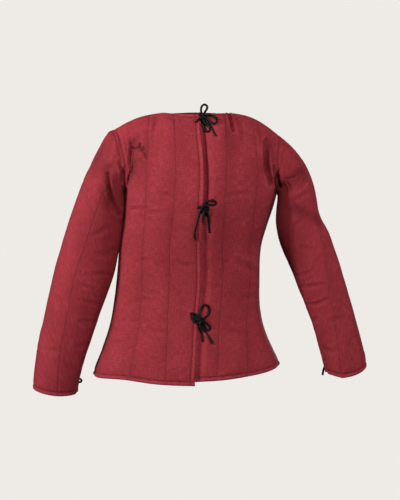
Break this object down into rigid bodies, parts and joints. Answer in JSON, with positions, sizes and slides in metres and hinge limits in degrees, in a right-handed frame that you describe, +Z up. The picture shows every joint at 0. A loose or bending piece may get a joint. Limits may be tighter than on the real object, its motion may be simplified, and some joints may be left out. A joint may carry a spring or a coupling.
{
  "type": "gambeson",
  "caption": "Collarless quilted padded coat to the hip with set-in sleeves, a lapped front and laced bows, filled out in its worn form.",
  "frame": {"origin": "middle of the shoulder line, where the wearer's shoulders hold the garment", "axes": "+X towards the wearer's left, -Y towards the front, +Z up"},
  "size_m": [0.7974, 0.2865, 0.6944],
  "materials": {
    "wine_red_cotton": "matt, coarse plain weave",
    "black_lace": "smooth, slightly glossy"
  },
  "bodies": {
    "root": {"back": "wine_red_cotton", "front_left": "wine_red_cotton", "front_right": "wine_red_cotton", "sleeve_left": "wine_red_cotton", "sleeve_right": "wine_red_cotton", "neck_lead": "black_lace", "neck_stub": "black_lace", "neck_loop_top": "black_lace", "neck_loop_side": "black_lace", "neck_loop_low": "black_lace", "neck_end": "black_lace", "neck_knot": "black_lace", "chest_lead": "black_lace", "chest_stub": "black_lace", "chest_loop_side": "black_lace", "chest_loop_front": "black_lace", "chest_end_low": "black_lace", "chest_end_side": "black_lace", "chest_knot": "black_lace", "hip_lead_top": "black_lace", "hip_lead_middle": "black_lace", "hip_lead_low": "black_lace", "hip_loop_top": "black_lace", "hip_loop_side": "black_lace", "hip_end_low": "black_lace", "hip_end_side": "black_lace", "hip_knot": "black_lace", "cuff_loop": "black_lace", "cuff_end": "black_lace"}
  },
  "joints": []
}
